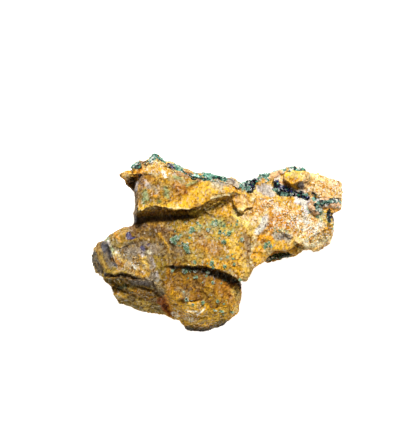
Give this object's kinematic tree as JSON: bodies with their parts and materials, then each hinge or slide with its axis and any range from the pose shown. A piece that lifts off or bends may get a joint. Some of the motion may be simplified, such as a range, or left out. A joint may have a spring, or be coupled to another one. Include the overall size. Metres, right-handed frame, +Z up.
{
  "type": "azurite malachite specimen",
  "caption": "Rough hand specimen of ochre quartz rock with ledges, a green malachite crust on its back edge and dark blue azurite crystals in its hollows.",
  "frame": {"origin": "under the middle of the stone, on the plane it rests on", "axes": "+X along its length, from the brown lobe to the pale quartz end; +Y towards the malachite crust; +Z up, out of the broken face"},
  "size_m": [0.1004, 0.0722, 0.0368],
  "materials": {
    "matrix": "rough broken quartz stained yellow, orange and brown by limonite",
    "malachite": "fine fibrous green crust and tufts, satin",
    "azurite": "small blue-black crystals, glassy"
  },
  "bodies": {
    "root": {"matrix_rock": "matrix", "malachite_crust": "malachite", "malachite_vein": "malachite", "malachite_under_shelf": "malachite", "azurite_crystals_in_hollow": "azurite", "azurite_crystals_on_rim": "azurite", "azurite_crystals_in_notch": "azurite"}
  },
  "joints": []
}
